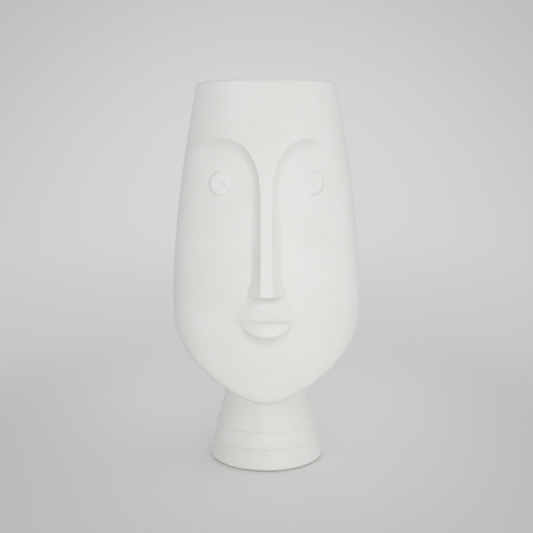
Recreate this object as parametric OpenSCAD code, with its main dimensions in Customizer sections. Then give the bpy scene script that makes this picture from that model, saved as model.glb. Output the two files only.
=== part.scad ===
// Face vase: a hollow stylised head in two luted halves, with an applied nose, lips and eyes,
// on a turned neck that is closed below by a floor disc.
// Millimetres. The origin is the centre of the foot, +Z is up and the face looks along -Y.

/* [Head] */
// Height of the whole vase
vase_h = 280; // [262:1:330]
// Width of the head where it is widest
head_w = 139.6; // [126:0.2:156]
// Height of the widest level
widest_z = 124.5; // [118:0.5:127]
// Distance from the axis to the cheeks' front at the widest level
front_d = 49.6; // [45:0.2:56]
// Distance from the axis to the back at the widest level
back_d = 59.2; // [50:0.2:64]
// Width of the rim
rim_w = 101.4; // [90:0.2:118]
// Distance from the axis to the front of the rim, without the raised forehead
rim_front_d = 35.5; // [32:0.5:42]
// Distance from the axis to the back of the rim
rim_back_d = 45; // [38:0.5:52]
// Thickness of the clay wall
wall = 5; // [4:0.1:6]
// Squareness of the face in plan, where 2 is an ellipse
front_square = 2.5; // [2.2:0.05:3]
// Squareness of the back in plan
back_square = 2.1; // [2:0.05:2.8]
// How late the sides draw in towards the rim
side_taper = 1.62; // [1.3:0.02:2]
// How late the face draws in towards the rim
face_taper = 1.7; // [1.4:0.05:2.2]
// How late the back draws in towards the rim
back_taper = 1.8; // [1.4:0.05:2.2]
// Forward lean of the face at the widest level, in millimetres a millimetre
face_lean = 0.045; // [0:0.005:0.08]
// Backward lean of the back at the widest level
back_lean = 0.05; // [0:0.005:0.08]

/* [Jaw] */
// Height that the chin is drawn towards
chin_z = 44.2; // [42:0.2:50]
// Height that the sides of the jaw are drawn towards
jaw_z = 90; // [84:0.5:96]
// Height that the back of the head is drawn towards
nape_z = 62; // [58:0.5:68]
// How sharply the chin turns under
chin_turn = 3.4; // [2.5:0.1:5]
// How sharply the sides of the jaw turn under
jaw_turn = 2.3; // [1.6:0.05:3]
// How sharply the back of the head turns under
nape_turn = 0.9; // [0.6:0.05:1.6]
// How quickly the chin's height rises towards the sides
chin_spread = 1.6; // [1.2:0.02:2]
// How quickly the chin's turn eases towards the sides
turn_spread = 1.6; // [1.2:0.05:2]

/* [Brow] */
// How far the forehead and brow stand out from the cheeks
brow_h = 5.5; // [4:0.1:6.5]
// Height of the tops of the brow arches
brow_peak_z = 240; // [235:0.5:250]
// Height where the arches' inner legs end and the nose begins
brow_foot_z = 198; // [192:0.5:204]
// Height of the arches' outer ends at the sides
brow_side_z = 223; // [218:0.5:230]
// Distance from the middle to each arch's top
brow_peak_x = 31; // [28:0.5:34]
// Height of the sloping step below an arch's top
brow_step_z = 7; // [5:0.2:9]
// Roundness of the arches' inner quarters, where 2 is an ellipse
brow_round = 2.3; // [2:0.05:2.6]
// Hollowness of the step below the brow, where 1 is a straight slope
brow_hollow = 1.35; // [1:0.05:1.8]

/* [Nose] */
// Width of the nose's flat front
nose_flat_w = 7.4; // [6.6:0.1:9]
// Width of each sloping side at the top of the nose
nose_side_top_w = 4.6; // [3.6:0.1:5.4]
// Width of each sloping side above the wings
nose_side_low_w = 6.2; // [5:0.1:7]
// Width of the nose across its wings
nose_wing_w = 28; // [25:0.2:32]
// Height of the wings, from the foot of the nose up
nose_wing_h = 20; // [14:0.5:26]
// Height of the nose's tip
nose_tip_z = 131.2; // [131.1:0.1:138]
// Height of the sloping underside of the nose
nose_under_h = 2.6; // [1.5:0.1:2.8]
// Share of the tip's height that is left at the foot of the underside
nose_under_share = 0.45; // [0.3:0.05:0.6]
// How far the tip stands out from the cheeks
nose_tip_h = 9.2; // [8:0.2:12]

/* [Mouth] */
// Height of the line between the lips
mouth_z = 112.3; // [110.5:0.1:114]
// Height of the upper lip's top edge
lip_top_z = 128.1; // [125:0.1:128.2]
// Height of the lower lip's bottom edge
lip_low_z = 94.6; // [92:0.2:100]
// Width of the upper lip's top edge
lip_top_w = 30; // [26:0.5:36]
// Width across the corners of the mouth
mouth_w = 54; // [48:0.5:58]
// How far the corners of the mouth drop below its line
corner_drop = 2.4; // [1.4:0.2:4]
// Width of the line between the lips
mouth_line_w = 36; // [31:0.5:40]
// How far the upper lip stands out
upper_lip_h = 5.4; // [4:0.1:6.4]
// How far the lower lip stands out
lower_lip_h = 6.2; // [4.8:0.1:7]

/* [Eyes] */
// Distance from the middle to an eye's centre
eye_x = 31; // [28:0.5:34]
// Height of the eyes' centres
eye_z = 208.8; // [205:0.2:212]
// Diameter of an eye
eye_d = 19; // [16:0.2:21]
// How far an eye stands out at its middle, without the dimple
eye_h = 1.3; // [1.2:0.1:2]
// How much further an eye stands out on its outer side
eye_tilt = 0.9; // [0:0.1:0.9]
// Diameter of the dimple in an eye
dimple_d = 7; // [5:0.2:9]
// Depth of the dimple
dimple_h = 0.9; // [0.5:0.1:1]

/* [Neck] */
// Height of the neck, where the head sits on it
neck_h = 56; // [53:0.5:59]
// Diameter of the neck at its top
neck_top_d = 62; // [60:0.5:66]
// Diameter of the neck at the foot
foot_d = 84.6; // [82:0.2:94]
// Diameter of the neck at the lip above the upper groove
high_lip_d = 76; // [72:0.2:78]
// Diameter of the neck at the lip above the lower groove
low_lip_d = 80.8; // [79:0.2:82.4]
// How late each band flares towards its lip
band_flare = 1.8; // [1.2:0.1:2.4]
// How far each band starts behind the lip above it
lip_step = 0.6; // [0.2:0.1:0.8]
// Thickness of the neck's wall
neck_wall = 6; // [5:0.1:7]
// Diameter of the throat between the head and the neck
throat_d = 55; // [52:0.5:56]
// Height of the spigot that enters the throat
spigot_h = 4; // [3:0.1:4.5]
// Thickness of the spigot's wall
spigot_wall = 4; // [3:0.1:5]
// Height of the lower groove
groove_low_z = 15; // [13:0.5:17]
// Height of the upper groove
groove_high_z = 27; // [25:0.5:32]
// Depth of a groove
groove_depth = 0.9; // [0.4:0.1:1.1]
// Radius of the tool that cuts a groove
groove_r = 1.1; // [1:0.1:1.4]

/* [Foot] */
// Height of the shadow line round the foot
foot_step_h = 1.4; // [0.8:0.1:2]
// Inset of the shadow line round the foot
foot_step_w = 1.6; // [1:0.1:2.2]
// Thickness of the floor disc
floor_t = 4; // [3:0.1:5]
// Height of the floor disc above the table
floor_lift = 2; // [1.5:0.1:3]
// Width of the ledge that the floor disc is luted to
ledge_w = 3; // [2.5:0.1:4]

/* [Fits] */
// Gap filled with slip behind the nose, lips and eyes
slip_gap = 0.1; // [0.05:0.01:0.2]
// Radial gap round the spigot and the floor disc
joint_gap = 0.3; // [0.2:0.05:0.5]
// Thickness of the edges of the nose, lips and eyes
feather = 0.3; // [0.2:0.05:0.5]

/* [Hidden] */
CLAY = [0.93, 0.925, 0.91];
INNER_CLAY = [0.9, 0.895, 0.88];

// Steps of the face's grid from the middle to one side, over the ridge, the arch and the temple
ridge_steps = 2;
arch_steps = 10;
temple_steps = 9;
side_steps = ridge_steps + arch_steps + temple_steps;
// Steps of the face's grid from the rim down
forehead_steps = 12;
brow_steps = 4;
cheek_steps = 16;
jaw_steps = 16;
// Steps of the plainer back and inside. The back's jaw has the face's steps, so that they meet.
back_columns = 22;
back_steps = 12;
inner_steps = 7;
inner_jaw_steps = 7;
rim_steps = 4;
// Steps of the applied pieces
nose_steps = 16;
lip_columns = 20;
upper_lip_levels = [1, 0.93, 0.85, 0.68, 0.5, 0.32, 0.18, 0.09, 0];
lower_lip_levels = [0, 0.08, 0.2, 0.37, 0.55, 0.65, 0.76, 0.88, 1];
eye_columns = 30;
eye_rings = 10;
band_steps = 7;

rim_r = wall / 2;
rim_z = vase_h - rim_r;
taper_h = vase_h - widest_z;
throat_top_z = neck_h + wall;
ridge_x = nose_flat_w / 2;
// Share of the half width where the raised forehead begins to ease away
temple_fade = 0.45;
nose_top_z = brow_foot_z - slip_gap;
floor_r = foot_d / 2 - foot_step_w - neck_wall + ledge_w - joint_gap;
ledge_z = floor_lift + floor_t;
// Bevel of the edges of the foot and the spigot
bevel = 0.4;

// Smooth step from 0 to 1 as v goes from lo to hi
function ease(lo, hi, v) =
    let (s = max(0, min(1, (v - lo) / (hi - lo))))
    s * s * (3 - 2 * s);

function mix(a, b, s) = a + (b - a) * s;

// Share of the depth left at a share a of the half width, on a superellipse
function superellipse(a, power) =
    abs(a) >= 1 ? 0 : pow(1 - pow(abs(a), power), 1 / power);

// Share of the half width at an even step s round a superellipse, from 0 in the middle to 1
function even_share(s, power) = sign(s) * pow(sin(90 * abs(s)), 2 / power);

function side_power(face) = face ? front_square : back_square;

// Half width at a height z at or above the widest level, inset by d
function half_width(z, d = 0) =
    head_w / 2 - (head_w - rim_w) / 2 * pow(max(0, z - widest_z) / taper_h, side_taper) - d;

// Depth from the axis to the face or the back at a height z at or above the widest level
function depth(z, face, d = 0) =
    let (
        u = max(0, z - widest_z),
        wide = face ? front_d : back_d,
        rim = face ? rim_front_d : rim_back_d,
        lean = face ? face_lean : back_lean,
        taper = face ? face_taper : back_taper
    )
    wide + lean * u - (wide + lean * taper_h - rim) * pow(u / taper_h, taper) - d;

// The jaw is a rational curve from the widest level to the neck, drawn towards a corner by a weight
function jaw_corner_z(a, face) = face
    ? mix(chin_z, jaw_z, pow(abs(a), chin_spread))
    : mix(nape_z, jaw_z, abs(a));

function jaw_weight(a, face) = face
    ? mix(chin_turn, jaw_turn, pow(abs(a), turn_spread))
    : mix(nape_turn, jaw_turn, abs(a));

// Point of the jaw on column a, where k runs from 0 at the widest level to infinity at the neck
function jaw_blend(a, face, k, d, ring_r, ring_z) =
    let (
        power = side_power(face),
        turn = asin(pow(abs(a), power / 2)) * (a < 0 ? -1 : 1),
        out = superellipse(a, power),
        lean = face ? face_lean : back_lean,
        corner_z = jaw_corner_z(a, face) + d,
        weight = 2 * jaw_weight(a, face) * k,
        top_y = depth(widest_z, face, d) * out,
        corner_y = top_y - lean * out * (widest_z - corner_z),
        side_x = half_width(widest_z, d) * a,
        total = 1 + weight + k * k,
        x = (side_x * (1 + weight) + k * k * ring_r * sin(turn)) / total,
        y = (top_y + weight * corner_y + k * k * ring_r * cos(turn)) / total,
        z = (widest_z + weight * corner_z + k * k * ring_z) / total
    )
    [x, face ? -y : y, z];

// Point of the outside at column a and height z, above the neck, without the raised forehead
function skin(a, z, face = true) = z >= widest_z
    ? let (y = depth(z, face) * superellipse(a, side_power(face)))
        [half_width(z) * a, face ? -y : y, z]
    : let (
            b = jaw_weight(a, face) * (z - jaw_corner_z(a, face)),
            c = z - neck_h,
            k = (sqrt(b * b - c * (z - widest_z)) - b) / c
        )
        jaw_blend(a, face, k, 0, neck_top_d / 2, neck_h);

// A point of the face, moved out by h
function face_point(a, z, h) = skin(a, z) - [0, h, 0];

// How far the forehead stands out at column a
function forehead(a) = brow_h * (1 - ease(temple_fade, 1, abs(a)));

// The brow's step runs between two arches. Each arch is a quarter superellipse from its foot at
// the nose to its top, and then a falling curve to the side.
function arch(side_x, peak_z, side_z, i) =
    let (
        foot_a = side_x / half_width(brow_foot_z),
        peak_a = brow_peak_x / half_width(peak_z),
        on_arch = min(1, max(0, (i - ridge_steps) / arch_steps)),
        on_temple = (i - ridge_steps - arch_steps) / temple_steps
    )
    i <= ridge_steps ? [foot_a * i / ridge_steps, brow_foot_z]
    : i <= ridge_steps + arch_steps ? [
        mix(peak_a, foot_a, pow(cos(90 * on_arch), 2 / brow_round)),
        mix(brow_foot_z, peak_z, pow(sin(90 * on_arch), 2 / brow_round))
    ]
    : [
        mix(peak_a, 1, mix(on_temple, sin(90 * on_temple), 0.7)),
        mix(peak_z, side_z, pow(mix(on_temple, sin(90 * on_temple), 0.7), 2))
    ];

function upper_arch(i) = arch(ridge_x, brow_peak_z, brow_side_z, i);

function lower_arch(i) = arch(
    i < ridge_steps ? ridge_x : ridge_x + nose_side_top_w,
    brow_peak_z - brow_step_z, brow_side_z - brow_step_z, i);

// Outside of the face down one column, from the rim to the neck. Column i counts from the middle.
function face_column(i) =
    let (
        n = abs(i),
        way = i < 0 ? -1 : 1,
        even = even_share(n / side_steps, front_square),
        up = upper_arch(n),
        low = lower_arch(n)
    )
    [
        for (j = [0 : forehead_steps])
            let (s = j / forehead_steps, a = way * mix(even, up[0], s))
            face_point(a, mix(rim_z, up[1], s), forehead(a)),
        for (j = [1 : brow_steps])
            let (s = j / brow_steps, a = way * mix(up[0], low[0], s))
            face_point(a, mix(up[1], low[1], s), forehead(a) * pow(1 - s, brow_hollow)),
        for (j = [1 : cheek_steps])
            let (s = j / cheek_steps)
            skin(way * mix(low[0], even, s), mix(low[1], widest_z, s)),
        for (j = [1 : jaw_steps])
            jaw_step(way * even, true, j / jaw_steps, 0, neck_top_d / 2, neck_h)
    ];

// Point of the jaw at an even step s from 0 at the widest level to 1 at the neck
function jaw_step(a, face, s, d, ring_r, ring_z) = s >= 1
    ? ring_point(a, face, ring_r, ring_z)
    : jaw_blend(a, face, s / (1 - s), d, ring_r, ring_z);

function ring_point(a, face, r, z) =
    let (turn = asin(pow(abs(a), side_power(face) / 2)) * (a < 0 ? -1 : 1))
    [r * sin(turn), (face ? -1 : 1) * r * cos(turn), z];

// Outside of the back down one column
function back_column(a) = [
    for (j = [0 : back_steps])
        skin(a, mix(rim_z, widest_z, j / back_steps), false),
    for (j = [1 : jaw_steps])
        jaw_step(a, false, j / jaw_steps, 0, neck_top_d / 2, neck_h)
];

// Inside of the shell up one column, from the throat to the rim. Above the brow it follows the
// raised forehead, so that the rim has an even wall.
function inner_column(a, face) = [
    for (j = [inner_jaw_steps : -1 : 1])
        jaw_step(a, face, j / inner_jaw_steps, wall, throat_d / 2, throat_top_z),
    for (j = [inner_steps : -1 : 0])
        let (
            z = mix(rim_z, widest_z, j / inner_steps),
            lift = face ? forehead(a) * ease(brow_peak_z, rim_z, z) : 0,
            y = depth(z, face, wall) * superellipse(a, side_power(face)) + lift
        )
        [half_width(z, wall) * a, face ? -y : y, z]
];

// The round rim, from the inside to the outside
function rim_arc(inside, outside) = [
    for (j = [1 : rim_steps - 1])
        let (t = 180 * j / rim_steps)
        mix(inside, outside, (1 - cos(t)) / 2) + [0, 0, rim_r * sin(t)]
];

// One closed section of the shell: outside down, under the foot of the shell, inside up, rim over
function shell_section(outside, inside, a, face) = concat(
    outside,
    [ring_point(a, face, throat_d / 2, neck_h)],
    inside,
    rim_arc(inside[len(inside) - 1], outside[0])
);

// Triangles of the flat end of a half shell, laced between its outside and its inside by height
function end_faces(section, outer_count, inner_count) =
    let (
        seat = outer_count,
        first_inner = outer_count + 1,
        last_inner = outer_count + inner_count,
        // The inside from the rim down, with the seat on the neck as its last point
        lace = concat([for (j = [last_inner : -1 : first_inner]) j], [seat]),
        level = [
            for (i = [0 : outer_count - 1])
                max(0, len([for (j = lace) if (section[j][2] >= section[i][2] - 0.0001) j]) - 1)
        ]
    )
    concat(
        [
            for (i = [0 : outer_count - 2])
                [i, i + 1, lace[level[i]]]
        ],
        [
            for (i = [0 : outer_count - 2])
                for (j = [level[i] : 1 : level[i + 1] - 1])
                    if (level[i + 1] > level[i])
                        [lace[j], i + 1, lace[j + 1]]
        ],
        [
            for (j = [last_inner : len(section) - 2])
                [0, j, j + 1]
        ]
    );

function turned(faces) = [for (f = faces) [f[2], f[1], f[0]]];

function moved(faces, by) = [for (f = faces) [for (v = f) v + by]];

// Half of the hollow head, from its closed sections side by side
module half_shell(sections, outer_count, inner_count) {
    count = len(sections[0]);
    last = len(sections) - 1;
    sides = [
        for (i = [0 : last - 1])
            for (j = [0 : count - 1])
                let (
                    a = i * count + j,
                    b = i * count + (j + 1) % count,
                    c = b + count,
                    d = a + count
                )
                each [[a, b, d], [b, c, d]]
    ];
    start = turned(end_faces(sections[0], outer_count, inner_count));
    end = moved(end_faces(sections[last], outer_count, inner_count), last * count);
    polyhedron(
        points = [for (s = sections) each s],
        faces = turned(concat(sides, start, end)),
        convexity = 6
    );
}

module head_front() {
    shares = [for (i = [-side_steps : side_steps]) even_share(i / side_steps, front_square)];
    sections = [
        for (i = [-side_steps : side_steps])
            let (a = shares[i + side_steps])
            shell_section(face_column(i), inner_column(a, true), a, true)
    ];
    color(CLAY)
        half_shell(sections, len(face_column(0)), inner_steps + 1 + inner_jaw_steps);
}

module head_back() {
    sections = [
        for (i = [back_columns : -1 : -back_columns])
            let (a = even_share(i / back_columns, back_square))
            shell_section(back_column(a), inner_column(a, false), a, false)
    ];
    color(CLAY)
        half_shell(sections, back_steps + 1 + jaw_steps, inner_steps + 1 + inner_jaw_steps);
}

// An applied piece: a front grid of points over a back grid, closed round its edges
module applied(front, back) {
    rows = len(front);
    cols = len(front[0]);
    shift = rows * cols;
    grid = [
        for (r = [0 : rows - 2])
            for (c = [0 : cols - 2])
                let (a = r * cols + c)
                each [[a, a + 1, a + cols + 1], [a, a + cols + 1, a + cols]]
    ];
    edge = concat(
        [for (c = [0 : cols - 2]) c],
        [for (r = [0 : rows - 2]) r * cols + cols - 1],
        [for (c = [cols - 1 : -1 : 1]) (rows - 1) * cols + c],
        [for (r = [rows - 1 : -1 : 1]) r * cols]
    );
    wall_faces = [
        for (i = [0 : len(edge) - 1])
            let (a = edge[i], b = edge[(i + 1) % len(edge)])
            each [[b, a, a + shift], [b, a + shift, b + shift]]
    ];
    polyhedron(
        points = concat([for (r = front) each r], [for (r = back) each r]),
        faces = concat(grid, moved(turned(grid), shift), wall_faces),
        convexity = 4
    );
}

// Points across half of the nose, from its edge to its middle, as shares of the widths:
// [share of the flat half width, share of the sloping side's width]
nose_across = [[1, 1], [1, 0.72], [1, 0.46], [1, 0.22], [1, 0.06], [0.86, 0], [0.4, 0], [0, 0]];

// Width of the nose's sloping side at a height z
function nose_side(z) =
    let (
        s = (nose_top_z - z) / (nose_top_z - nose_tip_z),
        wing = nose_wing_w / 2 - ridge_x - nose_side_low_w,
        near_wing = max(0, min(1, (nose_tip_z + nose_wing_h - z) / nose_wing_h))
    )
    mix(nose_side_top_w, nose_side_low_w, min(1, s * 1.4)) + wing * pow(near_wing, 2.2);

// How far the nose stands out at a height z
function nose_rise(z) =
    let (s = (nose_top_z - z) / (nose_top_z - nose_tip_z))
    mix(brow_h, nose_tip_h, pow(s, 1.1));

// Hollowness of the nose's sides at a height z. They straighten towards the wings.
function nose_hollow(z) = mix(1.25, 1, ease(nose_tip_z + 2.2 * nose_wing_h, nose_tip_z, z));

// One row of the nose: rise is its share of the full height
function nose_row(z, rise, gap_only) = [
    for (way = [-1, 1])
        for (m = [0 : len(nose_across) - (way < 0 ? 1 : 2)])
            let (
                p = nose_across[way < 0 ? m : len(nose_across) - 2 - m],
                x = way * (ridge_x * p[0] + nose_side(z) * p[1]),
                edge = slip_gap + feather,
                slope = pow(1 - p[1], nose_hollow(z)),
                h = gap_only ? slip_gap : edge + max(0, nose_rise(z) - edge) * slope * rise
            )
            face_point(x / half_width(z), z, h)
];

module nose() {
    // The last row is the foot of the sloping underside
    zs = concat(
        [for (j = [0 : nose_steps]) mix(nose_top_z, nose_tip_z, j / nose_steps)],
        [nose_tip_z - nose_under_h * 0.5, nose_tip_z - nose_under_h]
    );
    rises = [for (z = zs) mix(1, nose_under_share, max(0, (nose_tip_z - z) / nose_under_h))];
    color(CLAY)
        applied(
            [for (j = [0 : len(zs) - 1]) nose_row(zs[j], rises[j], false)],
            [for (j = [0 : len(zs) - 1]) nose_row(zs[j], 0, true)]
        );
}

// The upper lip widens from its top edge to the corners, which drop round the ends of the line.
// It swells in the middle, and up to a shelf below the nose.
function upper_lip_point(u, v, front) =
    let (
        line_share = mouth_line_w / mouth_w,
        drop = corner_drop * ease(line_share * 0.8, 1, abs(u)),
        low_z = mouth_z + slip_gap / 2 - drop,
        round_end = 1 - 0.16 * pow(max(0, 1 - v / 0.34), 2),
        half = mix(mouth_w, lip_top_w, pow(v, 1.5)) / 2 * round_end,
        z = mix(low_z, lip_top_z, v),
        flank = 1 - ease(mix(0.5, 0.12, v), 1, abs(u)),
        roll = mix(0.48, 0.78, ease(0, 0.18, v)) + 0.22 * ease(0.1, 0.85, v) - 0.42 * ease(0.84, 1, v),
        h = slip_gap + (front ? feather + (upper_lip_h - feather) * flank * roll : 0)
    )
    face_point(half * u / half_width(max(z, widest_z)), z, h);

// The lower lip hangs from the line as half a superellipse. It swells to a crisp crest.
function lower_lip_point(u, v, front) =
    let (
        end_h = 1.6,
        hang = end_h + (mouth_z - lip_low_z - end_h) * superellipse(u, 2.3),
        z = mouth_z - slip_gap / 2 - v * hang,
        flank = max(0, 1 - pow(abs(u), 2.2)),
        crest = 0.54 - 0.15 * u * u,
        swell = pow(sin(90 * min(1, v / crest)), 0.75),
        roll = mix(0.25, 1, swell) * pow(min(1, (1 - v) / (0.98 - crest)), 1.5),
        h = slip_gap + (front ? feather + (lower_lip_h - feather) * flank * roll : 0)
    )
    face_point(mouth_line_w / 2 * u / half_width(widest_z), z, h);

function lip_share(c) = sin(180 * c / lip_columns);

module upper_lip() {
    grids = [
        for (front = [true, false]) [
            for (v = upper_lip_levels) [
                for (c = [-lip_columns / 2 : lip_columns / 2])
                    upper_lip_point(lip_share(c), v, front)
            ]
        ]
    ];
    color(CLAY)
        applied(grids[0], grids[1]);
}

module lower_lip() {
    grids = [
        for (front = [true, false]) [
            for (v = lower_lip_levels) [
                for (c = [-lip_columns / 2 : lip_columns / 2])
                    lower_lip_point(lip_share(c), v, front)
            ]
        ]
    ];
    color(CLAY)
        applied(grids[0], grids[1]);
}

// How far an eye stands out at a share s of its radius: a dimple, a tilted flat and a round edge.
// Outer is the share of the radius towards the side of the head.
function eye_rise(s, outer = 0) =
    let (
        dimple = dimple_h * (1 - ease(0, 1, min(1, s * eye_d / dimple_d))),
        edge = pow(max(0, 1 - pow(s, 6)), 0.5)
    )
    slip_gap + feather + (eye_h + eye_tilt * outer - feather) * edge - dimple;

// An eye is lofted from rings round its centre, out over its front and back behind it
module eye(x) {
    front_shares = [for (k = [0 : eye_rings]) sin(90 * (k + 0.4) / (eye_rings + 0.4))];
    back_shares = [1, 0.66, 0.33];
    rings = concat(
        [for (s = front_shares) eye_ring(x, s, true)],
        [for (s = back_shares) eye_ring(x, s, false)]
    );
    count = len(rings);
    centre_a = x / half_width(eye_z);
    points = concat(
        [for (ring = rings) each ring],
        [face_point(centre_a, eye_z, eye_rise(0)), face_point(centre_a, eye_z, slip_gap)]
    );
    front_pole = count * eye_columns;
    sides = [
        for (k = [0 : count - 2])
            for (c = [0 : eye_columns - 1])
                let (
                    a = k * eye_columns + c,
                    b = k * eye_columns + (c + 1) % eye_columns
                )
                each [[a, b, b + eye_columns], [a, b + eye_columns, a + eye_columns]]
    ];
    caps = [
        for (c = [0 : eye_columns - 1])
            let (d = (c + 1) % eye_columns, back = (count - 1) * eye_columns)
            each [[front_pole, d, c], [front_pole + 1, back + c, back + d]]
    ];
    polyhedron(points = points, faces = concat(sides, caps), convexity = 4);
}

// One ring of an eye at a share s of its radius, on its front or behind it
function eye_ring(x, s, front) = [
    for (c = [0 : eye_columns - 1])
        let (
            t = 360 * c / eye_columns,
            r = s * eye_d / 2,
            z = eye_z + r * sin(t),
            h = front ? eye_rise(s, s * cos(t) * sign(x)) : slip_gap
        )
        face_point((x + r * cos(t)) / half_width(z), z, h)
];

module left_eye() {
    color(CLAY)
        eye(eye_x);
}

module right_eye() {
    color(CLAY)
        eye(-eye_x);
}

// Bands of the neck from the top down: [top height, bottom height, top radius, bottom radius]
bands = [
    [neck_h, groove_high_z, neck_top_d / 2, high_lip_d / 2],
    [groove_high_z, groove_low_z, high_lip_d / 2 - lip_step, low_lip_d / 2],
    [groove_low_z, foot_step_h + bevel, low_lip_d / 2 - lip_step, foot_d / 2]
];

// Outer radius of a band at a share s of the way down it
function band_r(band, s) = mix(band[2], band[3], pow(s, band_flare));

// Half of the neck's section. The inside follows the outside and closes in to the spigot's bore.
module neck_section() {
    throat_r = throat_d / 2 - joint_gap;
    bore_r = throat_r - spigot_wall;
    seat_r = floor_r + joint_gap;
    foot_r = foot_d / 2 - foot_step_w;
    difference() {
        polygon(concat(
            [
                [seat_r, 0],
                [foot_r - bevel, 0],
                [foot_r, bevel],
                [foot_r, foot_step_h],
                [foot_d / 2 - bevel, foot_step_h]
            ],
            [
                for (k = [2 : -1 : 0])
                    for (j = [band_steps : -1 : 0])
                        let (band = bands[k], s = j / band_steps)
                        [band_r(band, s), mix(band[0], band[1], s)]
            ],
            [
                [throat_r, neck_h],
                [throat_r, neck_h + spigot_h - bevel],
                [throat_r - bevel, neck_h + spigot_h],
                [bore_r, neck_h + spigot_h],
                [bore_r, neck_h - neck_wall],
                [neck_top_d / 2 - neck_wall, neck_h - 2 * neck_wall],
                [high_lip_d / 2 - neck_wall, groove_high_z],
                [low_lip_d / 2 - neck_wall, groove_low_z],
                [seat_r - ledge_w, ledge_z],
                [seat_r, ledge_z]
            ]
        ));
        for (band = [bands[0], bands[1]])
            translate([band[3] + groove_r - groove_depth - lip_step / 2, band[1]])
                circle(r = groove_r, $fn = 48);
    }
}

module neck() {
    color(CLAY)
        rotate_extrude($fn = 120)
            neck_section();
}

module floor_disc() {
    color(INNER_CLAY)
        translate([0, 0, floor_lift])
            cylinder(r = floor_r, h = floor_t, $fn = 120);
}

head_front();
head_back();
nose();
upper_lip();
lower_lip();
left_eye();
right_eye();
neck();
floor_disc();
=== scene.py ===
"""Looks of the ceramic face vase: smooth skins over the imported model, in a plain studio."""

from __future__ import annotations

import logging
import math
from dataclasses import dataclass, field
from enum import Enum
from typing import Callable

import bpy
import numpy as np
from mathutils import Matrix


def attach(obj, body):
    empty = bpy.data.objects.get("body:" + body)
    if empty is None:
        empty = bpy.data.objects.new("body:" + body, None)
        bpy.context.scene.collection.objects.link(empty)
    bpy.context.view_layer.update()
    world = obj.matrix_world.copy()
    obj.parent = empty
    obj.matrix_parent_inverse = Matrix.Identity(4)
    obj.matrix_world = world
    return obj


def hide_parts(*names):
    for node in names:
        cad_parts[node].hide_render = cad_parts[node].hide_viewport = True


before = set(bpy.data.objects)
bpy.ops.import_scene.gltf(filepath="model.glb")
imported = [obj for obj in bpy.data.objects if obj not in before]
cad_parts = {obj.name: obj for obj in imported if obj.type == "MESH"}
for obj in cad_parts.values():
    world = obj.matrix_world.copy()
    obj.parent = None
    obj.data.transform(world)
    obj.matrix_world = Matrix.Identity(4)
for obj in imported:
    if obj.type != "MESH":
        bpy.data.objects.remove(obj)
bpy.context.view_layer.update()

MM = 0.001
LOG = logging.getLogger("face_vase")
BODY = "root"
# Edges that turn more than this stay sharp, in degrees
CREASE_DEG = 40
# How far the edge of a lip or an eye dips under the skin, and how deep each back lies, in mm
EDGE_DIP = 0.03
BURIED = 0.4

Array = np.ndarray
ArrayPair = tuple[Array, Array]
Number = Array | float
Pair = tuple[float, float]
Triple = tuple[float, float, float]
Colour = Triple


class Slot(Enum):
    """Names of two material slots: matte clay and bare clay."""

    MATTE_CLAY = "matte_clay"
    BARE_CLAY = "bare_clay"


# Shape helpers. All of them take numbers or whole arrays.


def ease(lo: float, hi: float, value: Number) -> Array:
    """Smooth step: 3s^2 - 2s^3, where s is the share of the way from lo to hi, held to 0..1.

    Args:
        lo: value at which the step starts.
        hi: value at which it ends. It may be below lo.
        value: where to read it.

    Returns:
        0 before lo, 1 after hi.
    """
    s = np.clip((np.asarray(value, float) - lo) / (hi - lo), 0, 1)
    return s * s * (3 - 2 * s)


def mix(a: Number, b: Number, s: Number) -> Array:
    """Straight blend: a + (b - a) * s."""
    return a + (np.asarray(b, float) - a) * s


def shares(rows: int) -> Array:
    """Even shares from 0 to 1 as a row of rows + 1 columns."""
    return np.linspace(0, 1, rows + 1)[None]


def superellipse(share: Array, power: float) -> Array:
    """Depth share of a superellipse: (1 - |share|^power)^(1/power)."""
    return np.clip(1 - np.abs(share) ** power, 0, 1) ** (1 / power)


def even_share(step: Array, power: float) -> Array:
    """Width share at even turns round a superellipse: the sine of a quarter turn, to 2/power."""
    return np.sign(step) * np.sin(np.pi / 2 * np.abs(step)) ** (2 / power)


def step_share(share: Array, power: Number = 2.0) -> Array:
    """Height left on a modelled step, crisp at its top and hollow at its foot.

    The formula is ((r(1) - r(s)) / (r(1) - r(0)))^power, where r(s) = sqrt(s^2 + e^2) and e
    is the softness of the top edge.

    Args:
        share: share of the way across the step, 0 at the top.
        power: 1 for a straight slope, and more for a hollow foot.

    Returns:
        1 at the top edge and 0 at the foot.
    """
    soft = 0.07
    edge = np.sqrt(np.clip(share, 0, 1) ** 2 + soft**2)
    full = math.sqrt(1 + soft**2)
    return np.clip((full - edge) / (full - soft), 0, 1) ** power


# Meshes


def grid_quads(rows: int, cols: int, wrap: bool = False) -> Array:
    """Quads of a grid whose points are stored row by row.

    Args:
        rows: number of rows of points.
        cols: number of points in a row.
        wrap: whether the last point of a row is joined to its first.

    Returns:
        An array of four indices a quad.
    """
    r = np.arange(rows - 1)[:, None]
    c = np.arange(cols if wrap else cols - 1)[None, :]
    n = (c + 1) % cols
    quads = np.stack([r * cols + c, r * cols + n, (r + 1) * cols + n, (r + 1) * cols + c], -1)
    return quads.reshape(-1, 4)


def signed_volume(points: Array, faces: list[Array]) -> float:
    """Volume inside a closed mesh, as the sum of the cones from the origin to its triangles.

    Args:
        points: the mesh's points.
        faces: arrays of faces, each array with as many corners a face as it has columns.

    Returns:
        The volume, which is negative where the faces point inwards.
    """
    total = 0.0
    for group in faces:
        first = points[group[:, 0]]
        for k in range(1, group.shape[1] - 1):
            second, third = points[group[:, k]], points[group[:, k + 1]]
            total += float(np.einsum("ij,ij->", first, np.cross(second, third))) / 6
    return total


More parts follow.
